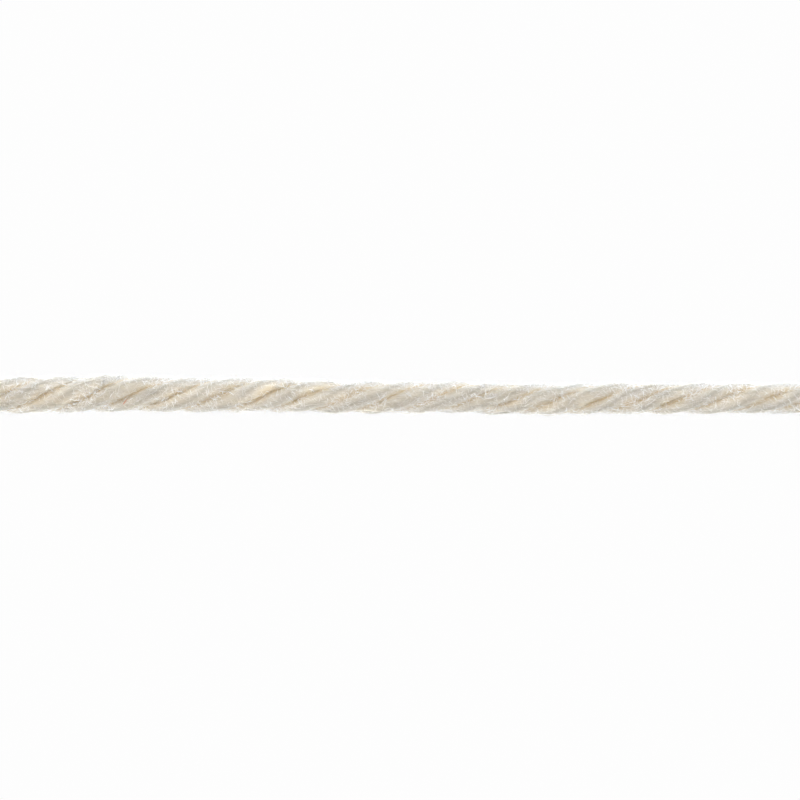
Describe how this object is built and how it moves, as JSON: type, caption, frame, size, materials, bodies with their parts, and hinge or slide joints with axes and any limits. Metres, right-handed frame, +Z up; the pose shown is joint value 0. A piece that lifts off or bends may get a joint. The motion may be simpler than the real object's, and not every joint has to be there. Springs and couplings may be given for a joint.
{
  "type": "knitting yarn",
  "caption": "Straight cut length of cream wool knitting yarn: softly spun plies laid together with an S twist into a round, ridged strand with fine loose hairs, cut off at both ends.",
  "frame": {"origin": "middle of the strand's underside, halfway between its cut ends", "axes": "+X along the strand towards its thinner end, +Z up from the surface that it lies on"},
  "size_m": [0.08, 0.0032, 0.0029],
  "materials": {
    "cream_wool": "matt, soft and slightly hairy"
  },
  "bodies": {
    "root": {"yarn_strand": "cream_wool"}
  },
  "joints": []
}
